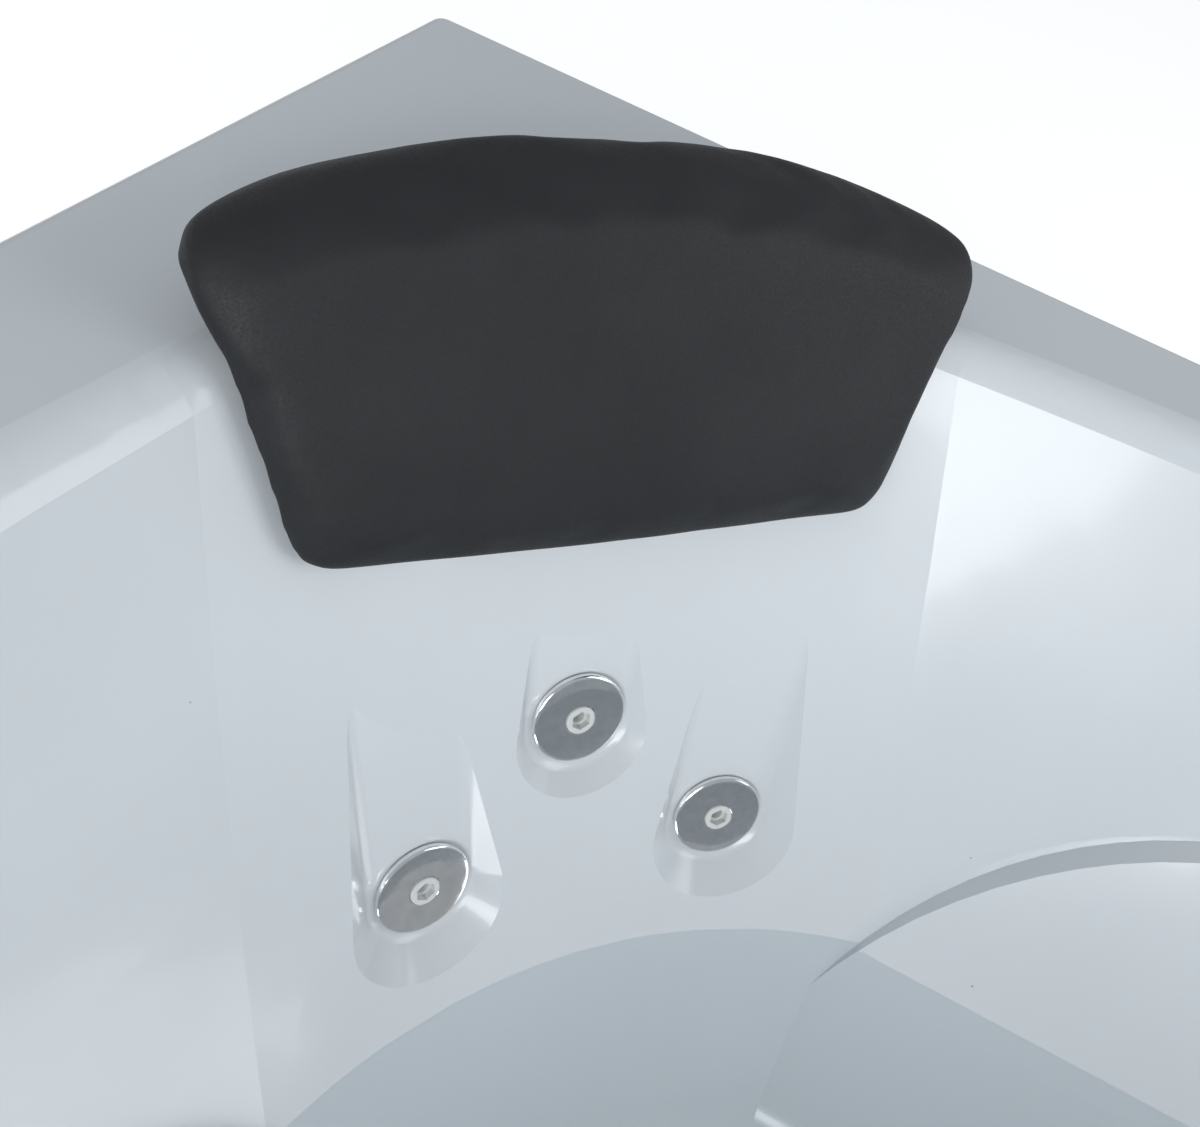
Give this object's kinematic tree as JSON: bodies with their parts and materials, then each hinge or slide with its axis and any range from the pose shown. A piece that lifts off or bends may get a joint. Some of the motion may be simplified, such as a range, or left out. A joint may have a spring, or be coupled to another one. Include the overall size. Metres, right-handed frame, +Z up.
{
  "type": "jetted bathtub",
  "caption": "Corner hydromassage bathtub with fan-shaped acrylic shell, back jets, head pillow, side ledges, skirt, frame, pump, air control and pop-up drain.",
  "frame": {"origin": "middle of the outline's bounding box, at floor level", "axes": "+Z up, +Y to the room corner behind the head pillow, +X to the right seen from the curved front"},
  "size_m": [1.8908, 1.516, 0.6723],
  "materials": {
    "acrylic": "glossy white acrylic",
    "pillow_foam": "soft matt black moulded foam",
    "clear_rubber": "translucent suction cups",
    "jet_chrome": "polished chrome",
    "jet_white": "white plastic",
    "pipe_pvc": "white rigid pipe",
    "hose_clear": "milky flexible hose",
    "seal_rubber": "black gasket",
    "board": "raw board",
    "frame_steel": "galvanised steel tube",
    "foot_plastic": "black plastic foot",
    "zinc": "zinc plated",
    "pump_black": "black moulded plastic",
    "motor_paint": "dark grey painted casting",
    "impeller_plastic": "grey plastic"
  },
  "bodies": {
    "tub": {"tub_shell": "acrylic", "head_pillow": "pillow_foam", "pillow_cups": "clear_rubber", "jet_cover_top": "jet_chrome", "jet_cover_left": "jet_chrome", "jet_cover_right": "jet_chrome", "jet_nozzle_top": "jet_white", "jet_nozzle_left": "jet_white", "jet_nozzle_right": "jet_white", "jet_body_top": "pipe_pvc", "jet_body_left": "pipe_pvc", "jet_body_right": "pipe_pvc", "jet_gaskets": "seal_rubber", "base_board": "board", "frame_rail_left": "frame_steel", "frame_rail_right": "frame_steel", "frame_rail_front_left": "frame_steel", "frame_rail_front_right": "frame_steel", "frame_rail_front": "frame_steel", "frame_crossbars": "frame_steel", "frame_posts": "frame_steel", "foot_nuts": "zinc", "apron_panel": "acrylic", "water_manifold": "pipe_pvc", "water_hoses": "hose_clear", "pressure_pipe": "pipe_pvc", "air_manifold": "pipe_pvc", "air_hoses": "hose_clear", "air_pipe": "pipe_pvc", "pump_volute": "pump_black", "pump_backplate": "pump_black", "motor_housing": "motor_paint", "motor_fan_cover": "pump_black", "motor_terminal_box": "pump_black", "pump_base": "pump_black", "pump_tray": "frame_steel", "suction_grille": "jet_chrome", "suction_body": "pipe_pvc", "suction_pipe": "pipe_pvc", "air_control_valve": "pipe_pvc", "button_body": "jet_chrome", "signal_tube": "hose_clear", "drain_flange": "jet_chrome", "drain_body": "pipe_pvc", "overflow_plate": "jet_chrome", "overflow_body": "pipe_pvc", "overflow_pipe": "pipe_pvc"},
    "foot_back": {"foot_back": "foot_plastic"},
    "foot_left": {"foot_left": "foot_plastic"},
    "foot_right": {"foot_right": "foot_plastic"},
    "foot_front_left": {"foot_front_left": "foot_plastic"},
    "foot_front_right": {"foot_front_right": "foot_plastic"},
    "pump_rotor": {"pump_impeller": "impeller_plastic", "pump_shaft": "zinc", "motor_fan": "impeller_plastic"},
    "air_knob": {"air_control_knob": "jet_chrome"},
    "button": {"button_cap": "jet_chrome"},
    "plug": {"drain_plug": "jet_chrome"},
    "overflow_dial": {"overflow_knob": "jet_chrome"}
  },
  "joints": [
    {"name": "foot_back_turn", "type": "hinge", "parent": "tub", "child": "foot_back", "pos_m": [0, 0.71266, 0], "axis": [0, 0, 1], "continuous": true},
    {"name": "foot_left_turn", "type": "hinge", "parent": "tub", "child": "foot_left", "pos_m": [-0.90934, -0.19668, 0], "axis": [0, 0, 1], "continuous": true},
    {"name": "foot_right_turn", "type": "hinge", "parent": "tub", "child": "foot_right", "pos_m": [0.90934, -0.19668, 0], "axis": [0, 0, 1], "continuous": true},
    {"name": "foot_front_left_turn", "type": "hinge", "parent": "tub", "child": "foot_front_left", "pos_m": [-0.34303, -0.66203, 0], "axis": [0, 0, 1], "continuous": true},
    {"name": "foot_front_right_turn", "type": "hinge", "parent": "tub", "child": "foot_front_right", "pos_m": [0.34303, -0.66203, 0], "axis": [0, 0, 1], "continuous": true},
    {"name": "rotor_spin", "type": "hinge", "parent": "tub", "child": "pump_rotor", "pos_m": [0.79549, -0.1889, 0.217], "axis": [-0.7071, -0.7071, 0], "continuous": true},
    {"name": "air_knob_turn", "type": "hinge", "parent": "tub", "child": "air_knob", "pos_m": [0.81317, -0.26315, 0.6], "axis": [0, 0, 1], "range_deg": [0, 300]},
    {"name": "button_press", "type": "slide", "parent": "tub", "child": "button", "axis": [0, 0, -1], "range_m": [0, 0.004], "stiffness_N_per_m": 300, "springref_m": -0.003},
    {"name": "overflow_turn", "type": "hinge", "parent": "tub", "child": "overflow_dial", "pos_m": [-0.55955, 0.04891, 0.508], "axis": [0.6519, -0.6519, 0.3875], "range_deg": [0, 90]},
    {"name": "plug_lift", "type": "slide", "parent": "tub", "child": "plug", "axis": [0, 0, 1], "range_m": [0, 0.01]}
  ],
  "couplings": [
    {"joint": "plug_lift", "follows": "overflow_turn", "m_per_rad": 0.0063025}
  ]
}
